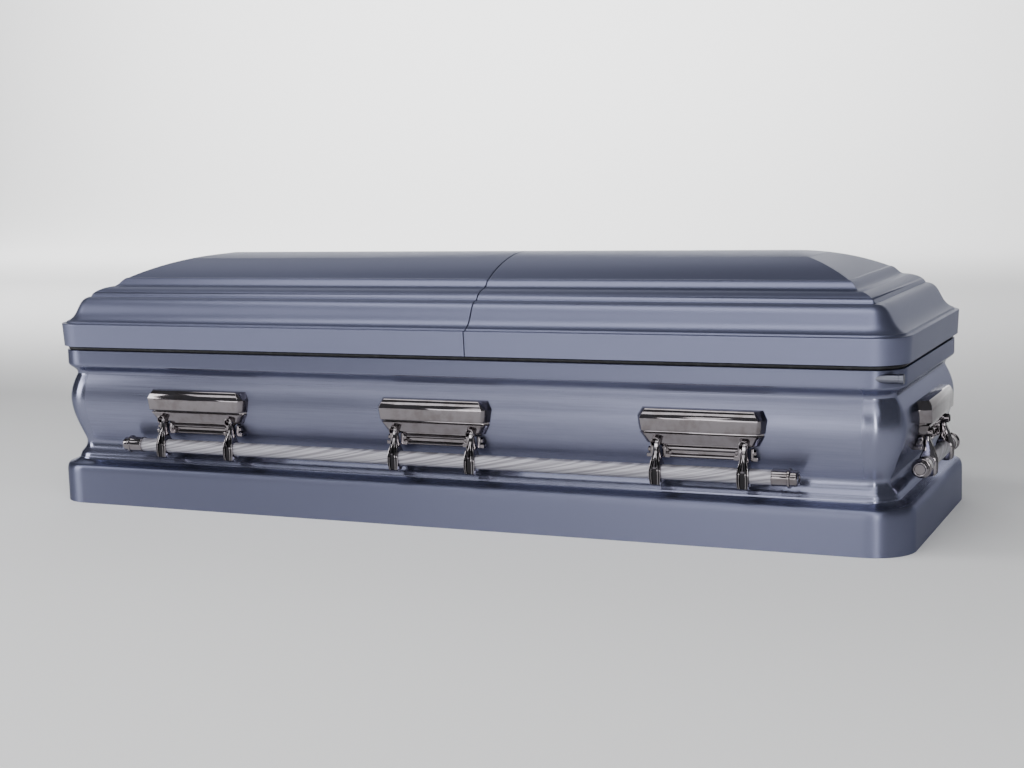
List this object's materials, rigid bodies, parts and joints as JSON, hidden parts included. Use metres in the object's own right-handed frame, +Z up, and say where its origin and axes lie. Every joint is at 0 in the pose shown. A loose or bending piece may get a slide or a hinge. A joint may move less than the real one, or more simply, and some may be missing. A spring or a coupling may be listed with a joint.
{
  "type": "funeral casket",
  "caption": "Sheet-steel funeral casket, moulded base and crowned two-part hinged lid, with swing bar handles on all sides.",
  "frame": {"origin": "centre of the flat bottom, on the surface the casket stands on", "axes": "+X along the length towards the foot end, -Y towards the front, +Z up"},
  "size_m": [2.156, 0.733, 0.6004],
  "materials": {
    "body": "brushed blue-grey metallic",
    "lid": "satin blue-grey metallic",
    "chrome": "polished plating",
    "bar": "satin with faint spiral bands",
    "gasket": "matt black",
    "hinge": "satin"
  },
  "bodies": {
    "casket_body": {"shell": "body", "gasket": "gasket", "hinge_body_leaf_head": "hinge", "hinge_pin_head": "hinge", "hinge_body_leaf_foot": "hinge", "hinge_pin_foot": "hinge", "lug_front_1": "chrome", "lug_front_2": "chrome", "lug_front_3": "chrome", "lug_back_1": "chrome", "lug_back_2": "chrome", "lug_back_3": "chrome", "lug_foot_1": "chrome", "lug_head_1": "chrome", "memorial_tube": "lid", "memorial_tube_cap": "lid"},
    "lid_head": {"lid_head": "lid", "hinge_lid_leaf_head": "hinge"},
    "lid_foot": {"lid_foot": "lid", "hinge_lid_leaf_foot": "hinge"},
    "bar_front": {"arm_front_1": "chrome", "arm_front_2": "chrome", "arm_front_3": "chrome", "arm_front_4": "chrome", "arm_front_5": "chrome", "arm_front_6": "chrome", "bar_front": "bar", "bar_cap_front_2": "chrome", "bar_cap_front_1": "chrome"},
    "bar_back": {"arm_back_1": "chrome", "arm_back_2": "chrome", "arm_back_3": "chrome", "arm_back_4": "chrome", "arm_back_5": "chrome", "arm_back_6": "chrome", "bar_back": "bar", "bar_cap_back_2": "chrome", "bar_cap_back_1": "chrome"},
    "bar_foot": {"arm_foot_1": "chrome", "arm_foot_2": "chrome", "bar_foot": "bar", "bar_cap_foot_2": "chrome", "bar_cap_foot_1": "chrome"},
    "bar_head": {"arm_head_1": "chrome", "arm_head_2": "chrome", "bar_head": "bar", "bar_cap_head_2": "chrome", "bar_cap_head_1": "chrome"}
  },
  "joints": [
    {"name": "lid_head_hinge", "type": "hinge", "parent": "casket_body", "child": "lid_head", "pos_m": [-0.4, 0.3516, 0.38515], "axis": [-1, 0, 0], "range_deg": [0, 95]},
    {"name": "lid_foot_hinge", "type": "hinge", "parent": "casket_body", "child": "lid_foot", "pos_m": [0.52, 0.3516, 0.38515], "axis": [-1, 0, 0], "range_deg": [0, 95]},
    {"name": "bar_front_swing", "type": "hinge", "parent": "casket_body", "child": "bar_front", "pos_m": [0, -0.345, 0.219], "axis": [-1, 0, 0], "range_deg": [0, 90]},
    {"name": "bar_back_swing", "type": "hinge", "parent": "casket_body", "child": "bar_back", "pos_m": [0, 0.345, 0.219], "axis": [1, 0, 0], "range_deg": [0, 90]},
    {"name": "bar_foot_swing", "type": "hinge", "parent": "casket_body", "child": "bar_foot", "pos_m": [1.0565, 0, 0.219], "axis": [0, -1, 0], "range_deg": [0, 90]},
    {"name": "bar_head_swing", "type": "hinge", "parent": "casket_body", "child": "bar_head", "pos_m": [-1.0565, 0, 0.219], "axis": [0, 1, 0], "range_deg": [0, 90]}
  ]
}
